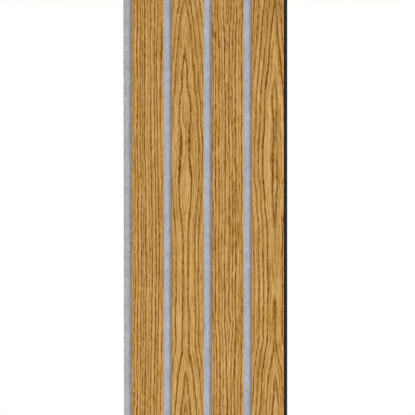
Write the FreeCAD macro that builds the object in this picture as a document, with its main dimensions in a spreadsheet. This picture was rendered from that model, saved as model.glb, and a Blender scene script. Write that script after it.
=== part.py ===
# Acoustic slat wall panel: veneered slats on grey felt, carried by a black board with a lapped edge.
# Millimetres. The wall is the plane y = 0, the slats face -Y, and the length runs along Z.
import FreeCAD, Part
import os
import Sketcher

doc = FreeCAD.newDocument("slat_wall_panel")

# Driving sizes: alias, value, what it measures
driving_sizes = [
    ("panel_length", 600, "length of the boards, slats and felt"),
    ("slat_count", 4, "slats on one module"),
    ("slat_width", 31.6, "finished width of a slat"),
    ("slat_gap", 8.4, "felt left open between two slats"),
    ("slat_thickness", 12, "finished depth of a slat, veneer included"),
    ("veneer_thickness", 0.3, "oak veneer on the front and sides of a slat"),
    ("core_edge_radius", 0.15, "easing of the core's front edges, under the veneer"),
    ("felt_thickness", 9, "felt between the slats and the carrier board"),
    ("carrier_thickness", 3, "black carrier board"),
    ("lip_width", 4, "lip of the carrier that the next module laps over"),
    ("lip_play", 0.3, "step that keeps the lip behind the carrier's front face"),
    ("lap_clearance", 0.5, "side clearance between a lip and the next carrier"),
    ("staple_crown", 5.8, "outside width of a staple"),
    ("staple_wire_width", 1.25, "staple wire along the slat"),
    ("staple_wire_thickness", 1, "staple wire across the slat"),
    ("staple_point", 1.2, "length of the slanted cut on a staple leg"),
    ("staple_tip_cover", 3.5, "core left between a staple tip and the veneer"),
    ("staple_rows", 4, "staples along one slat"),
    ("staple_end_margin", 50, "from a slat's end to its first staple"),
]
sizes = doc.addObject("Spreadsheet::Sheet", "Sizes")
for row, (alias, value, meaning) in enumerate(driving_sizes, start=1):
    sizes.set(f"A{row}", alias)
    sizes.set(f"B{row}", str(value))
    sizes.set(f"C{row}", meaning)
    sizes.setAlias(f"B{row}", alias)
doc.recompute()

# Places worked out from the driving sizes
slat_pitch = "(Sizes.slat_width + Sizes.slat_gap)"
module_width = f"(Sizes.slat_count * {slat_pitch})"
module_left = f"(-{module_width} / 2)"
module_right = f"({module_width} / 2)"
panel_bottom = "(-Sizes.panel_length / 2)"
felt_front = "(-Sizes.carrier_thickness - Sizes.felt_thickness)"
core_width = "(Sizes.slat_width - 2 * Sizes.veneer_thickness)"
core_thickness = "(Sizes.slat_thickness - Sizes.veneer_thickness)"


def place(piece, x="0", y="0", z="0"):
    piece.setExpression("Placement.Base.x", x)
    piece.setExpression("Placement.Base.y", y)
    piece.setExpression("Placement.Base.z", z)


def origin_feature(body, role):
    return next(feature for feature in body.Origin.OriginFeatures if feature.Role == role)


# A closed outline in plan, each corner held by its distances from the sketch's origin
def draw_outline(body, name, corners):
    sketch = body.newObject("Sketcher::SketchObject", name)
    sketch.AttachmentSupport = [(origin_feature(body, "XY_Plane"), "")]
    sketch.MapMode = "FlatFace"
    points = [FreeCAD.Vector(sketch.evalExpression(x), sketch.evalExpression(y), 0) for x, y in corners]
    followers = points[1:] + points[:1]
    for start, end in zip(points, followers):
        sketch.addGeometry(Part.LineSegment(start, end))
    for line in range(len(points)):
        following = (line + 1) % len(points)
        sketch.addConstraint(Sketcher.Constraint("Coincident", line, 2, following, 1))
    for line, (x, y) in enumerate(corners):
        across = sketch.addConstraint(Sketcher.Constraint("DistanceX", -1, 1, line, 1, points[line].x))
        sketch.setExpression(f"Constraints[{across}]", x)
        outwards = sketch.addConstraint(Sketcher.Constraint("DistanceY", -1, 1, line, 1, points[line].y))
        sketch.setExpression(f"Constraints[{outwards}]", y)
    return sketch


def pad_outline(body, sketch, length):
    pad = body.newObject("PartDesign::Pad", sketch.Name + "_pad")
    pad.Profile = sketch
    pad.setExpression("Length", length)
    body.Tip = pad
    doc.recompute()
    return pad


# A strip the full length of the panel, flat at the back, with its two long front edges eased
def eased_strip(name, width, thickness, edge_radius):
    strip = doc.addObject("PartDesign::Body", name)
    corners = [("0", "0"), ("0", f"-{thickness}"), (width, f"-{thickness}"), (width, "0")]
    pad = pad_outline(strip, draw_outline(strip, name + "_section", corners), "Sizes.panel_length")
    front = pad.Shape.BoundBox.YMin
    front_edges = []
    for number, edge in enumerate(pad.Shape.Edges, start=1):
        runs_along = edge.BoundBox.ZLength > 0.5 * pad.Shape.BoundBox.ZLength
        if runs_along and abs(edge.CenterOfMass.y - front) < 1e-6:
            front_edges.append(f"Edge{number}")
    easing = strip.newObject("PartDesign::Fillet", name + "_easing")
    easing.Base = (pad, front_edges)
    easing.setExpression("Radius", edge_radius)
    strip.Tip = easing
    return strip


def cut_away(label, base, tool):
    cut = doc.addObject("Part::Cut", label)
    cut.Base = base
    cut.Tool = tool
    return cut


# One staple with slanted leg tips, repeated over the slats and along them
def make_staples():
    staples = doc.addObject("PartDesign::Body", "staples")
    outer = "(Sizes.staple_crown / 2)"
    inner = f"({outer} - Sizes.staple_wire_thickness)"
    tip = f"({felt_front} - {core_thickness} + Sizes.staple_tip_cover)"
    heel = f"({tip} + Sizes.staple_point)"
    under_crown = "(-Sizes.staple_wire_thickness)"
    left_leg = [(f"-{outer}", "0"), (f"-{outer}", tip), (f"-{inner}", heel), (f"-{inner}", under_crown)]
    right_leg = [(inner, under_crown), (inner, heel), (outer, tip), (outer, "0")]
    outline = draw_outline(staples, "staple_outline", left_leg + right_leg)
    wire = pad_outline(staples, outline, "Sizes.staple_wire_width")
    wire.SideType = "Symmetric"
    grid = staples.newObject("PartDesign::LinearPattern", "staple_grid")
    grid.Originals = [wire]
    grid.Direction = (origin_feature(staples, "X_Axis"), [""])
    grid.setExpression("Length", f"(Sizes.slat_count - 1) * {slat_pitch}")
    grid.setExpression("Occurrences", "Sizes.slat_count")
    grid.Direction2 = (origin_feature(staples, "Z_Axis"), [""])
    grid.setExpression("Length2", "Sizes.panel_length - 2 * Sizes.staple_end_margin")
    grid.setExpression("Occurrences2", "Sizes.staple_rows")
    staples.Tip = grid
    first_slat_middle = f"{module_left} + Sizes.slat_gap + Sizes.slat_width / 2"
    place(staples, x=first_slat_middle, z=f"{panel_bottom} + Sizes.staple_end_margin")
    return staples


# The carrier board: set back under the felt on the left, with a stepped lip on the right
def make_carrier(staples):
    board = doc.addObject("PartDesign::Body", "carrier_blank")
    left = f"({module_left} + Sizes.lip_width + Sizes.lap_clearance)"
    lip_edge = f"({module_right} + Sizes.lip_width)"
    front = "(-Sizes.carrier_thickness)"
    lip_front = "(Sizes.lip_play - Sizes.carrier_thickness)"
    section = [(left, "0"), (left, front), (module_right, front)]
    section += [(module_right, lip_front), (lip_edge, lip_front), (lip_edge, "0")]
    pad_outline(board, draw_outline(board, "carrier_section", section), "Sizes.panel_length")
    place(board, z=panel_bottom)
    return cut_away("carrier_board", board, staples)


# The felt covers the whole module, and its left margin is the gap that follows the module before it
def make_felt(staples):
    sheet = doc.addObject("Part::Box", "felt_sheet")
    sheet.setExpression("Length", module_width)
    sheet.setExpression("Width", "Sizes.felt_thickness")
    sheet.setExpression("Height", "Sizes.panel_length")
    place(sheet, x=module_left, y=felt_front, z=panel_bottom)
    return cut_away("felt_layer", sheet, staples)


# A slat: a core stapled from behind, and a veneer wrapped round its front and sides
def make_slat(number, staples):
    left = f"({module_left} + Sizes.slat_gap + {number - 1} * {slat_pitch})"
    form = eased_strip(
        f"slat_form_{number}",
        "Sizes.slat_width",
        "Sizes.slat_thickness",
        "Sizes.core_edge_radius + Sizes.veneer_thickness",
    )
    core = eased_strip(f"slat_strip_{number}", core_width, core_thickness, "Sizes.core_edge_radius")
    place(form, x=left, y=felt_front, z=panel_bottom)
    place(core, x=f"{left} + Sizes.veneer_thickness", y=felt_front, z=panel_bottom)
    veneer = cut_away(f"slat_veneer_{number}", form, core)
    return [cut_away(f"slat_core_{number}", core, staples), veneer]


staples = make_staples()
sub_parts = [staples, make_carrier(staples), make_felt(staples)]
for number in range(1, int(sizes.slat_count) + 1):
    sub_parts += make_slat(number, staples)
doc.recompute()

failed = [item.Name for item in doc.Objects if "Invalid" in item.State or "Error" in item.State]
if failed:
    raise RuntimeError("not built: " + ", ".join(failed))
for piece in sub_parts:
    if piece.Shape.isNull() or not piece.Shape.isValid():
        raise RuntimeError("bad shape: " + piece.Label)

os.makedirs("parts", exist_ok=True)
for piece in sub_parts:
    piece.Shape.exportStep(f"parts/{piece.Label}.step")
    print(piece.Label, len(piece.Shape.Solids), "solids", round(piece.Shape.Volume), "mm3")
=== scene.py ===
import bpy
import bmesh
import math
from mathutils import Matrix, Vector, noise


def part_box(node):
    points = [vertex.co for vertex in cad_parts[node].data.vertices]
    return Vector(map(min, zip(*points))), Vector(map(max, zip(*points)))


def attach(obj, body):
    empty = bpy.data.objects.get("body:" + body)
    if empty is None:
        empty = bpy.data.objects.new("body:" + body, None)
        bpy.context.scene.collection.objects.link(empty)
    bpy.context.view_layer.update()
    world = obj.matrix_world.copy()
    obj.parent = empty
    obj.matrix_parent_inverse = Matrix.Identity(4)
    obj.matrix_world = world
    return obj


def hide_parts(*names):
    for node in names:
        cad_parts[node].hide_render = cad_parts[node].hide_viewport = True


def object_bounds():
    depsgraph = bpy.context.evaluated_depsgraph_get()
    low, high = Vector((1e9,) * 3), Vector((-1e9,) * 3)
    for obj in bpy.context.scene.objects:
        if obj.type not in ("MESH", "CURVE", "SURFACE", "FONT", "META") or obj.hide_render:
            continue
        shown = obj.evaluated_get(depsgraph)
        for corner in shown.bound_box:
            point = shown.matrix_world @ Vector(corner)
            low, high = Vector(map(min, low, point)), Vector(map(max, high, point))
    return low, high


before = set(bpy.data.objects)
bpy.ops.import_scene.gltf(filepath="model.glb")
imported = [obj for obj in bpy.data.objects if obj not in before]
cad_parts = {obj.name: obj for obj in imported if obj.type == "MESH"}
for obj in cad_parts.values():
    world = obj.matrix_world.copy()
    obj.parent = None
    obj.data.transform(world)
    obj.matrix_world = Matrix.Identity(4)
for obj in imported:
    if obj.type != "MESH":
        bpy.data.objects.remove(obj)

cadLow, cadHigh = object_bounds()   # the CAD box, before anything is dressed
scene = bpy.context.scene
millimetre = 0.001
seedSteps = (3.7, 1.9, 2.3)   # how far a seed of 1 moves a pattern
patternRange = (0.3, 0.7)   # where most of a streak pattern lies
print("frame loaded:", len(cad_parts), "nodes")


# ways to write node trees and pieces in few lines
def newMaterial(name):
    material = bpy.data.materials.new(name)
    material.use_nodes = True
    material.node_tree.nodes.clear()
    return material, material.node_tree


def newNode(tree, kind, inputs=None, **settings):
    node = tree.nodes.new(kind)
    for name, value in settings.items():
        setattr(node, name, value)
    for name, value in (inputs or {}).items():
        if isinstance(value, bpy.types.NodeSocket):
            tree.links.new(value, node.inputs[name])
        else:
            node.inputs[name].default_value = value
    return node


def calc(tree, operation, first, second=0.0, third=0.0):
    return newNode(tree, "ShaderNodeMath", {0: first, 1: second, 2: third}, operation=operation).outputs[0]


def remap(tree, value, fromLow, fromHigh, toLow, toHigh, smooth=False):
    inputs = {"Value": value, "From Min": fromLow, "From Max": fromHigh, "To Min": toLow, "To Max": toHigh}
    kind = "SMOOTHSTEP" if smooth else "LINEAR"
    return newNode(tree, "ShaderNodeMapRange", inputs, interpolation_type=kind, clamp=True).outputs["Result"]


def ramp(tree, value, tones):
    node = newNode(tree, "ShaderNodeValToRGB", {"Fac": value})
    elements = node.color_ramp.elements
    while len(elements) < len(tones):
        elements.new(0.5)
    for element, (place, colour) in zip(elements, tones):
        element.position = place
        element.color = (*colour, 1.0)
    return node.outputs["Color"]


def linear(red, green, blue):   # a colour as a paint chart gives it, 0 to 255
    parts = [part / 255 for part in (red, green, blue)]
    return tuple(part / 12.92 if part <= 0.04045 else ((part + 0.055) / 1.055) ** 2.4 for part in parts)


def objectMillimetres(tree):
    place = newNode(tree, "ShaderNodeTexCoord").outputs["Object"]
    inputs = {0: place, "Scale": 1 / millimetre}
    return newNode(tree, "ShaderNodeVectorMath", inputs, operation="SCALE").outputs[0]


def streaks(tree, place, size, seed, detail=2.0, roughness=0.5, turn=(0, 0, 0)):
    moved = newNode(tree, "ShaderNodeMapping", {
        "Vector": place, "Location": tuple(seed * step for step in seedSteps),
        "Scale": tuple(1 / length for length in size), "Rotation": turn})
    inputs = {"Vector": moved.outputs[0], "Scale": 1.0, "Detail": detail, "Roughness": roughness}
    return newNode(tree, "ShaderNodeTexNoise", inputs, noise_dimensions="3D").outputs["Fac"]


def mixStreaks(tree, first, firstShare, second, secondShare):
    return calc(tree, "MULTIPLY_ADD", second, secondShare, calc(tree, "MULTIPLY", first, firstShare))


def finishSurface(tree, colour, roughness, height, look):
    strength, depth = look["bump"]
    bumped = newNode(tree, "ShaderNodeBump", {
        "Height": height, "Strength": strength, "Distance": depth * millimetre})
    shader = newNode(tree, "ShaderNodeBsdfPrincipled", {
        "Base Color": colour, "Roughness": roughness, "Normal": bumped.outputs[0], **look["shader"]})
    newNode(tree, "ShaderNodeOutputMaterial", {"Surface": shader.outputs[0]})


def dress(nodeName, material):
    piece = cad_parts[nodeName]
    piece.data.materials.clear()
    piece.data.materials.append(material)


# oak veneer: rings laid out as contours round the axis of each slat's figure, in mm
oakLook = {
    # from the wood between the lines to the darkest line
    "tones": [(0.0, linear(215, 172, 105)), (0.22, linear(193, 147, 78)), (0.45, linear(175, 128, 58)),
              (0.75, linear(143, 95, 16)), (1.0, linear(106, 57, 0))],
    "warmth": (0.975, 1.022), "rough": (0.52, 0.72), "bump": (0.25, 0.15),
    "shader": {"Specular IOR Level": 0.1},
}
slatFigures = {
    "slat_veneer_1": {
        "axis": 20.8, "lean": 0.0,   # the figure's middle, across from the slat's, and its slope
        "apex": 1.0, "reach": 22,   # how blunt the arches are, and how far from the axis they spread
        "seed": 3.1, "bend": 2.6,   # how far the slow bends of the sheet go
        "lineWidth": 0.95, "broken": 0.6,   # half width of a line, and what is left of it at a break
        "fine": 0.3, "fibre": 0.75, "vessels": 0.55,   # how strongly thin lines, fibres and vessels show
        # heights, and how far the arches have opened there
        "rise": [(300, 1.5), (194, 0.0), (168, 0.8), (116, 0.8), (64, 0.3), (12, -0.9), (-40, -2.1),
                 (-66, -2.2), (-92, -1.4), (-144, -0.2), (-195, 1.0), (-300, 2.0)],
        # distance of each dark line from the axis before it opens, and how dark it is
        "lines": [(39.0, 0.9), (36.5, 0.7), (34.9, 0.6), (33.1, 0.7), (30.2, 1.15), (26.9, 0.95),
                  (24.9, 0.65), (22.6, 1.2), (19.3, 0.5), (16.7, 1.05), (12.9, 1.15), (10.2, 1.0),
                  (6.3, 0.75), (2.6, 0.8), (-1.0, 0.9)],
        # across from the slat's middle, height, half width, half length, and how dark
        "flecks": [(13.5, 160, 1.3, 32, 0.9), (12.7, 122, 0.9, 45, 0.6)]},
    "slat_veneer_2": {
        "axis": -2.6, "lean": 0.0027, "apex": 0.6, "reach": 45, "seed": 7.4, "bend": 2.2,
        "lineWidth": 1.4, "broken": 0.65, "fine": 0.35, "fibre": 0.7, "vessels": 0.3,
        "rise": [(300, -13), (228, -2.2), (207, 1.1), (187, 4.4), (167, 6.8), (150, 8.2), (137, 9.6),
                 (122, 10.0), (113, 11.4), (102, 12.8), (92, 12.8), (82, 13.9), (72, 16.2), (62, 16.9),
                 (52, 16.6), (42, 16.3), (32, 16.0), (22, 14.4), (12, 13.3), (2, 12.4), (-13, 10.9),
                 (-33, 9.9), (-63, 9.7), (-90, 9.9), (-103, 10.3), (-115, 9.9), (-125, 9.1), (-134, 9.3),
                 (-143, 11.2), (-152, 13.8), (-163, 15.1), (-183, 16.6), (-203, 18.9), (-300, 28.5)],
        # added to the rise for the rings near the axis, which close into eyes
        "eye": [(300, 0.0), (115, 0.0), (102, 0.2), (92, 0.3), (82, -2.2), (72, -6.0), (62, -6.9),
                (52, -6.3), (42, -5.6), (32, -4.3), (22, -1.7), (12, -0.5), (2, 0.2), (-15, 0.0),
                (-95, 0.0), (-105, 0.1), (-115, 0.8), (-125, 1.5), (-133, 1.4), (-141, 0.1),
                (-152, -2.1), (-163, -1.0), (-175, 0.0), (-300, 0.0)],
        "lines": [(26.4, 0.7), (21.9, 0.75), (17.8, 0.65), (13.4, 0.75), (8.8, 0.7), (3.5, 0.78),
                  (-0.5, 0.8), (-7.7, 0.93), (-14.9, 0.9), (-18.4, 0.7), (-21.2, 0.75), (-24.8, 0.8)]},
    "slat_veneer_3": {
        "axis": 0.15, "lean": 0.0, "apex": 0.6, "reach": 12, "seed": 11.8, "bend": 2.8,
        "lineWidth": 0.95, "broken": 0.6, "fine": 0.4, "fibre": 0.75, "vessels": 0.55,
        "rise": [(300, 1.0), (220, 0.6), (205, 2.3), (196, 2.2), (180, 1.0), (160, 0.2), (60, -0.2),
                 (0, 0.3), (-60, 0.4), (-104, 0.0), (-113, 1.0), (-122, 0.4), (-140, -0.8),
                 (-180, -1.6), (-207, -1.6), (-300, -0.5)],
        "lines": [(17.6, 0.8), (21.5, 0.9), (24.6, 0.8), (-1.6, 0.9)],
        # lines on one side of the axis only
        "leftLines": [(2.4, 1.2), (5.9, 0.5), (8.5, 1.05), (11.8, 1.1), (14.4, 1.0)],
        "rightLines": [(0.8, 1.1), (4.0, 0.95), (7.0, 1.2), (10.4, 0.55), (13.2, 1.05)]},
    "slat_veneer_4": {
        "axis": 7.0, "lean": 0.003, "apex": 0.6, "reach": 45, "seed": 16.2, "bend": 3.0,
        "lineWidth": 1.45, "broken": 0.6, "fine": 0.4, "fibre": 0.75, "vessels": 0.3,
        "rise": [(300, -11), (228, -2.5), (207, 0.2), (187, 2.3), (167, 3.9), (147, 5.8), (127, 8.3),
                 (107, 10.2), (99, 10.9), (87, 11.3), (78, 11.9), (67, 13.1), (57, 13.2), (47, 13.4),
                 (37, 13.6), (28, 13.0), (20, 11.4), (7, 10.3), (-3, 9.7), (-13, 8.5), (-40, 7.6),
                 (-125, 7.8), (-133, 8.3), (-140, 10.2), (-148, 12.4), (-156, 13.4), (-164, 14.7),
                 (-172, 15.0), (-183, 15.4), (-203, 17.0), (-300, 25)],
        "eye": [(300, 0.0), (145, 0.0), (130, -0.4), (118, 0.2), (108, 0.0), (99, -1.2), (91, -2.0),
                (83, -2.4), (75, -3.2), (67, -4.2), (59, -4.0), (51, -3.8), (43, -3.9), (36, -4.0),
                (28, -3.2), (20, -1.4), (11, -0.8), (3, -0.7), (-5, -0.6), (-12, -0.2), (-25, 0.0),
                (-120, 0.0), (-132, 0.0), (-140, -0.8), (-148, -2.1), (-156, -1.9), (-164, -1.6),
                (-174, 0.0), (-186, 0.3), (-200, 0.4), (-240, 0.0), (-300, 0.0)],
        "lines": [(27.9, 0.8), (23.4, 0.7), (18.9, 0.8), (14.2, 0.8), (9.0, 0.85), (4.2, 0.82),
                  (-0.4, 1.05), (-8.2, 0.88), (-14.6, 0.85), (-18.4, 0.7), (-22.1, 0.8)],
        "flecks": [(6.5, -101, 2.8, 18, 0.7), (6.9, -118, 1.9, 40, 0.52)]},
}
# size across, into and along the sheet in mm, step from the slat's seed, and detail
grainPatterns = {
    "bend": ((11, 1, 48), 0, 2.0), "shiver": ((4, 1, 7), 1, 2.0), "jag": ((1.8, 1, 3.2), 8, 2.0),
    "thin": ((2.4, 1, 90), 3, 1.0), "dashes": ((2.0, 1, 30), 2, 2.0), "beads": ((1.4, 1, 4.5), 9, 2.0),
    "vessels": ((0.32, 1, 6), 10, 0.0), "hair": ((0.7, 1, 16), 4, 1.0), "pores": ((0.5, 1, 7), 6, 0.0),
    "tone": ((9, 1, 110), 5, 2.0), "warmth": ((5, 1, 24), 7, 2.0),
}
grainLook = {
    "shiver": 0.5, "jag": 0.4,   # how far the small bends go
    "eyeReach": 8.0, "sideApart": 40.0, "sideBlend": 0.4,   # in mm from the axis, or across it
    # the part of a pattern that is used, and the strength it gives
    "thinWidth": 0.09, "dashRange": (0.34, 0.56), "dashes": (0.62, 1.0),
    "beadRange": (0.36, 0.64), "beadMost": 1.25, "vesselRange": (0.36, 0.64), "vesselMean": 1.05,
    "tipRange": (0.3, 1.6), "tips": (0.8, 1.0), "poreRange": (0.6, 0.72), "warmthRange": (0.33, 0.67),
    # how far each goes from pale to dark
    "base": 0.1, "lineDepth": 0.95, "hairDepth": 0.84, "poreDepth": 0.4, "toneDepth": 0.12,
    # painted highlight along the long edges: its width, and how much paler
    "edgeWidth": 1.0, "edgeHighlight": 0.4,
}


def riseCurve(tree, along, points):
    heights = [height for place, height in points]
    low, high = min(heights), max(heights)
    bottom, top = points[-1][0], points[0][0]
    share = remap(tree, along, bottom, top, 0.0, 1.0)
    node = newNode(tree, "ShaderNodeFloatCurve", {"Value": share})
    curve = node.mapping.curves[0]
    while len(curve.points) < len(points):
        curve.points.new(0.5, 0.5)
    for point, (place, height) in zip(curve.points, reversed(points)):
        point.location = ((place - bottom) / (top - bottom), (height - low) / (high - low))
        point.handle_type = "AUTO"
    node.mapping.update()
    return calc(tree, "MULTIPLY_ADD", node.outputs["Value"], high - low, low)


def opening(tree, along, points, distance, reach):   # full at the axis, less further out
    share = calc(tree, "DIVIDE", distance, reach)
    share = calc(tree, "MULTIPLY_ADD", share, share, 1.0)
    return calc(tree, "DIVIDE", riseCurve(tree, along, points), share)


def oakVeneer(nodeName, figure):
    low, high = (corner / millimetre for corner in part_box(nodeName))
    slatHalf = (high.x - low.x) / 2
    material, tree = newMaterial("oak_" + nodeName)

    def pattern(name, place):
        size, step, detail = grainPatterns[name]
        return streaks(tree, place, size, figure["seed"] + step, detail)

    def swing(name, place):   # a pattern about zero
        return calc(tree, "SUBTRACT", pattern(name, place), 0.5)

    split = newNode(tree, "ShaderNodeSeparateXYZ", {0: objectMillimetres(tree)}).outputs
    along = split["Z"]
    fromMiddle = calc(tree, "SUBTRACT", split["X"], (low.x + high.x) / 2)
    intoSide = calc(tree, "SUBTRACT", split["Y"], low.y)
    # the sheet is wrapped, so the sides carry on from the front edge
    sheet = calc(tree, "MULTIPLY_ADD", calc(tree, "SIGN", fromMiddle), intoSide, fromMiddle)
    flat = newNode(tree, "ShaderNodeCombineXYZ", {"X": sheet, "Z": along}).outputs[0]

    # the sheet's own small bends, then the arches
    bent = calc(tree, "MULTIPLY_ADD", swing("bend", flat), figure["bend"], sheet)
    bent = calc(tree, "MULTIPLY_ADD", swing("shiver", flat), grainLook["shiver"], bent)
    bent = calc(tree, "MULTIPLY_ADD", swing("jag", flat), grainLook["jag"], bent)
    leaning = calc(tree, "MULTIPLY_ADD", along, figure["lean"], bent)
    offAxis = calc(tree, "SUBTRACT", leaning, figure["axis"])
    rounded = calc(tree, "SQRT", calc(tree, "MULTIPLY_ADD", offAxis, offAxis, figure["apex"] ** 2))
    opened = opening(tree, along, figure["rise"], rounded, figure["reach"])
    if "eye" in figure:
        eye = opening(tree, along, figure["eye"], rounded, grainLook["eyeReach"])
        opened = calc(tree, "ADD", opened, eye)
    ring = calc(tree, "SUBTRACT", calc(tree, "SUBTRACT", rounded, figure["apex"]), opened)
    # the two sides of the axis get different grain
    side = calc(tree, "MULTIPLY", calc(tree, "SIGN", offAxis), grainLook["sideApart"])
    grain = newNode(tree, "ShaderNodeCombineXYZ", {"X": ring, "Y": side, "Z": along}).outputs[0]

    # dark lines of the rings, broken up along their length
    lines = None
    blend = grainLook["sideBlend"]
    for group, sides in (("lines", None), ("leftLines", (1.0, 0.0)), ("rightLines", (0.0, 1.0))):
        for place, darkness in figure.get(group, []):
            gap = calc(tree, "ABSOLUTE", calc(tree, "SUBTRACT", ring, place))
            line = remap(tree, gap, 0.0, figure["lineWidth"], darkness, 0.0, smooth=True)
            if sides:
                line = calc(tree, "MULTIPLY", line, remap(tree, offAxis, -blend, blend, *sides))
            lines = calc(tree, "MAXIMUM", lines, line) if lines else line
    thin = calc(tree, "ABSOLUTE", swing("thin", grain))
    thin = remap(tree, thin, 0.0, grainLook["thinWidth"], figure["fine"], 0.0, smooth=True)
    lines = calc(tree, "MAXIMUM", lines, thin)
    dashes = remap(tree, pattern("dashes", grain), *grainLook["dashRange"], *grainLook["dashes"])
    beads = pattern("beads", grain)
    beads = remap(tree, beads, *grainLook["beadRange"], figure["broken"], grainLook["beadMost"])
    tips = remap(tree, calc(tree, "ABSOLUTE", offAxis), *grainLook["tipRange"], *grainLook["tips"])
    for part in (dashes, beads, tips):
        lines = calc(tree, "MULTIPLY", lines, part)
    for across, height, halfWidth, halfLength, darkness in figure.get("flecks", []):
        sideways = calc(tree, "DIVIDE", calc(tree, "SUBTRACT", bent, across), halfWidth)
        lengthways = calc(tree, "DIVIDE", calc(tree, "SUBTRACT", along, height), halfLength)
        away = calc(tree, "MULTIPLY_ADD", lengthways, lengthways, calc(tree, "MULTIPLY", sideways, sideways))
        lines = calc(tree, "MAXIMUM", lines, remap(tree, away, 0.0, 1.0, darkness, 0.0, smooth=True))

    # vessels, fibres and pores run straight along the slat
    straight = newNode(tree, "ShaderNodeCombineXYZ", {"X": bent, "Z": along}).outputs[0]
    weak = grainLook["vesselMean"] - figure["vessels"]
    strong = grainLook["vesselMean"] + figure["vessels"]
    vessels = remap(tree, pattern("vessels", straight), *grainLook["vesselRange"], weak, strong)
    lines = calc(tree, "MULTIPLY", lines, vessels)
    pores = remap(tree, pattern("pores", straight), *grainLook["poreRange"], 0.0, 1.0)
    hair = swing("hair", straight)
    depth = calc(tree, "MULTIPLY", lines, grainLook["lineDepth"])
    depth = calc(tree, "MULTIPLY_ADD", hair, grainLook["hairDepth"] * figure["fibre"], depth)
    depth = calc(tree, "MULTIPLY_ADD", pores, grainLook["poreDepth"] * figure["fibre"], depth)
    depth = calc(tree, "MULTIPLY_ADD", swing("tone", flat), grainLook["toneDepth"], depth)
    depth = calc(tree, "ADD", depth, grainLook["base"])
    # painted highlight: the long edges are painted paler, as if catching the light
    outwards = calc(tree, "ABSOLUTE", fromMiddle)
    edge = remap(tree, outwards, slatHalf - grainLook["edgeWidth"], slatHalf, 0.0, grainLook["edgeHighlight"])
    depth = calc(tree, "SUBTRACT", depth, edge)
    colour = ramp(tree, depth, oakLook["tones"])
    # some patches are a little warmer than others
    warmth = remap(tree, pattern("warmth", flat), *grainLook["warmthRange"], *oakLook["warmth"])
    colour = newNode(tree, "ShaderNodeHueSaturation", {"Color": colour, "Saturation": warmth}).outputs[0]
    roughness = remap(tree, depth, 0.0, 1.0, *oakLook["rough"])
    hollow = calc(tree, "MULTIPLY", depth, -1.0)
    finishSurface(tree, colour, roughness, hollow, oakLook)
    return material


for nodeName, figure in slatFigures.items():
    dress(nodeName, oakVeneer(nodeName, figure))
print("oak veneers dressed")


# the cores show only as sawn fibreboard at the two ends
coreLook = {
    "tones": [(0.33, linear(168, 135, 96)), (0.64, linear(205, 174, 132))],
    "specks": ((0.5, 0.35, 0.5), 2.0, 3.0, 0.65), "speckShare": 0.7,
    "layers": ((12, 2.2, 12), 5.0), "layerShare": 0.3,
    "rough": (0.75, 0.95), "bump": (0.4, 0.2), "shader": {"Specular IOR Level": 0.15},
}


def fibreboard():
    material, tree = newMaterial("sawn_fibreboard")
    place = objectMillimetres(tree)
    specks = streaks(tree, place, *coreLook["specks"])
    layers = streaks(tree, place, *coreLook["layers"])
    mixed = mixStreaks(tree, specks, coreLook["speckShare"], layers, coreLook["layerShare"])
    colour = ramp(tree, mixed, coreLook["tones"])
    roughness = remap(tree, specks, *patternRange, *coreLook["rough"])
    finishSurface(tree, colour, roughness, specks, coreLook)
    return material


coreMaterial = fibreboard()
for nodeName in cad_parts:
    if nodeName.startswith("slat_core"):
        dress(nodeName, coreMaterial)


# black carrier board
boardLook = {
    "tones": [(0.4, linear(26, 22, 17)), (0.68, linear(48, 42, 34))],
    "specks": ((0.6, 0.4, 0.6), 3.0, 3.0, 0.6), "speckShare": 0.65,
    "cloud": ((26, 26, 40), 8.0), "cloudShare": 0.35,
    "rough": (0.55, 0.75), "bump": (0.25, 0.1), "shader": {"Specular IOR Level": 0.1},
}


def blackBoard():
    material, tree = newMaterial("black_fibreboard")
    place = objectMillimetres(tree)
    specks = streaks(tree, place, *boardLook["specks"])
    cloud = streaks(tree, place, *boardLook["cloud"])
    mixed = mixStreaks(tree, specks, boardLook["speckShare"], cloud, boardLook["cloudShare"])
    colour = ramp(tree, mixed, boardLook["tones"])
    roughness = remap(tree, cloud, *patternRange, *boardLook["rough"])
    finishSurface(tree, colour, roughness, specks, boardLook)
    return material


dress("carrier_board", blackBoard())


# staple wire
stapleLook = {
    "tones": [(0.38, linear(140, 141, 146)), (0.62, linear(196, 197, 200))],
    "drawn": ((2.5, 0.12, 0.12), 4.0), "drawnShare": 0.4,
    "spangle": ((0.9, 0.9, 0.9), 6.0), "spangleShare": 0.6,
    "rough": (0.5, 0.28), "bump": (0.2, 0.05), "shader": {"Metallic": 1.0},
}


def stapleWire():
    material, tree = newMaterial("galvanised_wire")
    place = objectMillimetres(tree)
    drawn = streaks(tree, place, *stapleLook["drawn"])
    spangle = streaks(tree, place, *stapleLook["spangle"])
    mixed = mixStreaks(tree, drawn, stapleLook["drawnShare"], spangle, stapleLook["spangleShare"])
    colour = ramp(tree, mixed, stapleLook["tones"])
    roughness = remap(tree, mixed, *patternRange, *stapleLook["rough"])
    finishSurface(tree, colour, roughness, drawn, stapleLook)
    return material


dress("staples", stapleWire())
print("core, board and staples dressed")


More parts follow.
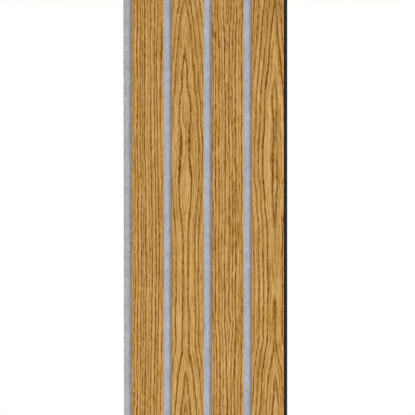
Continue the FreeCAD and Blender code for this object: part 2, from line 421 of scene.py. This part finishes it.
# felt: a needled sheet with soft edges and an uneven face, in place of the plain CAD sheet; sizes in mm
feltSheet = {
    "edge": 0.9, "edgeSteps": 3, "cell": 2.5,
    "dimple": 0.25, "dimpleSize": 3.2, "dimpleNoise": (0.8, 2.0, 3),   # noise: fading, spacing and octaves
    "margin": 8, "stretch": 0.25, "lean": 0.5,
}
feltLook = {
    "tones": [(0.3, linear(158, 162, 167)), (0.5, linear(182, 187, 198)), (0.7, linear(202, 207, 220))],
    "tufts": ((1.5, 1.5, 1.5), 2.0, 3.0, 0.7), "tuftShare": 0.6,
    "cloud": ((9, 9, 9), 1.0, 3.0, 0.6), "cloudShare": 0.4,
    "hairSize": (0.3, 0.3, 5.0), "hairAngles": (0.4, 1.5, 2.6), "hairTilt": (0.3, 0.2),
    "hairSeed": 3.0, "hairDetail": 1.0, "hairRoughness": 0.5, "hairDepth": 0.35,
    # painted shade on the open margin: where it fades in, how much darker, and how much colour stays
    "margin": (-72.5, -70.5), "marginShade": 0.095, "marginTint": 0.65,
    "rough": (0.85, 1.0), "bump": (0.5, 0.3),
    "shader": {"Specular IOR Level": 0.1, "Sheen Weight": 0.15, "Sheen Roughness": 0.6},
}


def cutAcross(bm, axis, cuts):
    edges = []
    for edge in bm.edges:
        way = edge.verts[1].co - edge.verts[0].co
        if abs(way[axis]) > 0.99 * way.length:   # runs along the axis
            edges.append(edge)
    longest = max(edge.calc_length() for edge in edges)
    edges = [edge for edge in edges if edge.calc_length() > 0.9 * longest]   # none in the rounded corners
    bmesh.ops.subdivide_edges(bm, edges=edges, cuts=cuts, use_grid_fill=True)


def makeFelt():
    low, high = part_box("felt_layer")
    size = high - low
    bm = bmesh.new()
    bmesh.ops.create_cube(bm, size=1.0)
    bmesh.ops.scale(bm, vec=size, verts=bm.verts)
    bmesh.ops.translate(bm, vec=(low + high) / 2, verts=bm.verts)
    bmesh.ops.bevel(bm, geom=bm.edges[:], offset=feltSheet["edge"] * millimetre,
                    segments=feltSheet["edgeSteps"], profile=0.5, affect="EDGES", material=-1)
    for axis in (2, 0, 1):
        cutAcross(bm, axis, round(size[axis] / (feltSheet["cell"] * millimetre)) - 1)
    bm.normal_update()
    moves = []
    for vert in bm.verts:
        spot = vert.co / (feltSheet["dimpleSize"] * millimetre)
        press = 0.5 + 0.5 * noise.fractal(spot, *feltSheet["dimpleNoise"])
        moves.append(vert.normal * -min(max(press, 0.0), 1.0) * feltSheet["dimple"] * millimetre)
    # the free left margin is trimmed a little out of square
    margin = feltSheet["margin"] * millimetre
    for vert, move in zip(bm.verts, moves):
        loose = min(max((low.x + margin - vert.co.x) / margin, 0.0), 1.0)
        trim = feltSheet["stretch"] + feltSheet["lean"] * vert.co.z / high.z
        vert.co += move
        vert.co.x -= loose * trim * millimetre
    mesh = bpy.data.meshes.new("felt_sheet")
    bm.to_mesh(mesh)
    bm.free()
    for face in mesh.polygons:
        face.use_smooth = True
    piece = bpy.data.objects.new("felt_sheet", mesh)
    scene.collection.objects.link(piece)
    return piece


def greyFelt():
    material, tree = newMaterial("grey_needled_felt")
    place = objectMillimetres(tree)
    cloud = streaks(tree, place, *feltLook["cloud"])
    tufts = streaks(tree, place, *feltLook["tufts"])
    mixed = mixStreaks(tree, tufts, feltLook["tuftShare"], cloud, feltLook["cloudShare"])
    for number, angle in enumerate(feltLook["hairAngles"]):
        turn = (feltLook["hairTilt"][0], angle, feltLook["hairTilt"][1])
        hair = streaks(tree, place, feltLook["hairSize"], feltLook["hairSeed"] + number,
                       feltLook["hairDetail"], feltLook["hairRoughness"], turn)
        mixed = calc(tree, "MULTIPLY_ADD", calc(tree, "SUBTRACT", hair, 0.5), feltLook["hairDepth"], mixed)
    # painted shade: the open margin is painted a little darker and greyer
    across = newNode(tree, "ShaderNodeSeparateXYZ", {0: place}).outputs["X"]
    marginShade = remap(tree, across, *feltLook["margin"], feltLook["marginShade"], 0.0, smooth=True)
    colour = ramp(tree, calc(tree, "SUBTRACT", mixed, marginShade), feltLook["tones"])
    tint = remap(tree, across, *feltLook["margin"], feltLook["marginTint"], 1.0, smooth=True)
    colour = newNode(tree, "ShaderNodeHueSaturation", {"Color": colour, "Saturation": tint}).outputs[0]
    roughness = remap(tree, mixed, *patternRange, *feltLook["rough"])
    finishSurface(tree, colour, roughness, mixed, feltLook)
    return material


felt = makeFelt()
felt.data.materials.append(greyFelt())
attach(felt, "root")
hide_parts("felt_layer")
print("felt made:", len(felt.data.polygons), "faces")


# floor, light and camera, in metres
stageLook = {
    "floorRadius": 1.5, "floorSides": 96, "floor": (0.8, 0.8, 0.8, 1),
    "fade": (0.15, 1.3), "fadeStart": 0.45,   # white by its outer part
    "white": (1, 1, 1, 1), "fill": 0.08,
}
lamps = {
    "key": {"place": (1.0, -4.2, 0.2), "size": 0.42, "power": 66.0},
    "front": {"place": (0.0, -4.6, 0.2), "size": 0.8, "power": 78.0},
    "backLeft": {"place": (-1.7, 3.0, 0.6), "size": 1.2, "power": 55.0},
    "backRight": {"place": (1.3, 3.2, 0.7), "size": 1.2, "power": 45.0},
    "right": {"place": (3.0, 0.8, 0.3), "size": 1.2, "power": 45.0},
    "top": {"place": (0.0, 0.6, 3.0), "size": 1.2, "power": 45.0},
}
# frame and the panel's middle in pixels, one pixel in mm
shot = {"frame": 415, "panelMiddle": 203.63, "perPixel": 1.0, "distance": 5.0, "sensor": 36.0}


def pathShare(tree):   # 1 for what the camera, a mirror or glass sees, 0 for diffuse light
    path = newNode(tree, "ShaderNodeLightPath").outputs
    seen = calc(tree, "MAXIMUM", path["Is Camera Ray"], path["Is Glossy Ray"])
    return calc(tree, "MAXIMUM", seen, path["Is Transmission Ray"])


def whiteWorld():
    world = bpy.data.worlds.new("studio")
    world.use_nodes = True
    tree = world.node_tree
    tree.nodes.clear()
    fill = newNode(tree, "ShaderNodeBackground", {"Color": stageLook["white"], "Strength": stageLook["fill"]})
    white = newNode(tree, "ShaderNodeBackground", {"Color": stageLook["white"], "Strength": 1.0})
    mixed = newNode(tree, "ShaderNodeMixShader", {
        0: pathShare(tree), 1: fill.outputs[0], 2: white.outputs[0]})
    newNode(tree, "ShaderNodeOutputWorld", {"Surface": mixed.outputs[0]})
    scene.world = world


def paleFloor():
    bm = bmesh.new()
    bmesh.ops.create_circle(bm, cap_ends=True, radius=stageLook["floorRadius"],
                            segments=stageLook["floorSides"])
    bmesh.ops.translate(bm, vec=(0, 0, cadLow.z), verts=bm.verts)
    mesh = bpy.data.meshes.new("floor")
    bm.to_mesh(mesh)
    bm.free()
    floor = bpy.data.objects.new("floor", mesh)
    scene.collection.objects.link(floor)
    material, tree = newMaterial("pale_floor")
    place = newNode(tree, "ShaderNodeTexCoord").outputs["Object"]
    level = newNode(tree, "ShaderNodeVectorMath", {0: place, 1: (1, 1, 0)}, operation="MULTIPLY").outputs[0]
    reach = newNode(tree, "ShaderNodeVectorMath", {0: level}, operation="LENGTH").outputs["Value"]
    fade = remap(tree, reach, *stageLook["fade"], stageLook["fadeStart"], 1.0, smooth=True)
    matt = newNode(tree, "ShaderNodeBsdfDiffuse", {"Color": stageLook["floor"]})
    white = newNode(tree, "ShaderNodeEmission", {"Color": stageLook["white"], "Strength": 1.0})
    share = calc(tree, "MULTIPLY", fade, pathShare(tree))
    mixed = newNode(tree, "ShaderNodeMixShader", {0: share, 1: matt.outputs[0], 2: white.outputs[0]})
    newNode(tree, "ShaderNodeOutputMaterial", {"Surface": mixed.outputs[0]})
    mesh.materials.append(material)


def hangLamp(name, lamp):
    data = bpy.data.lights.new(name, "AREA")
    data.shape = "SQUARE"
    data.size = lamp["size"]
    data.energy = lamp["power"]
    light = bpy.data.objects.new(name, data)
    light.location = lamp["place"]
    light.rotation_mode = "QUATERNION"
    light.rotation_quaternion = (-Vector(lamp["place"])).to_track_quat("-Z", "Y")   # faces the panel
    light.visible_camera = False
    scene.collection.objects.link(light)


def placeCamera():
    data = bpy.data.cameras.new("camera")
    data.sensor_width = shot["sensor"]
    width = shot["frame"] * shot["perPixel"] * millimetre
    data.lens = shot["sensor"] * shot["distance"] / width
    camera = bpy.data.objects.new("camera", data)
    sideways = (shot["frame"] / 2 - shot["panelMiddle"]) * shot["perPixel"] * millimetre
    camera.location = (sideways, cadLow.y - shot["distance"], 0)
    camera.rotation_euler = (math.radians(90), 0, 0)
    scene.collection.objects.link(camera)
    scene.camera = camera


whiteWorld()
paleFloor()
for name, lamp in lamps.items():
    hangLamp(name, lamp)
placeCamera()
scene.view_settings.view_transform = "Standard"
print("stage set")
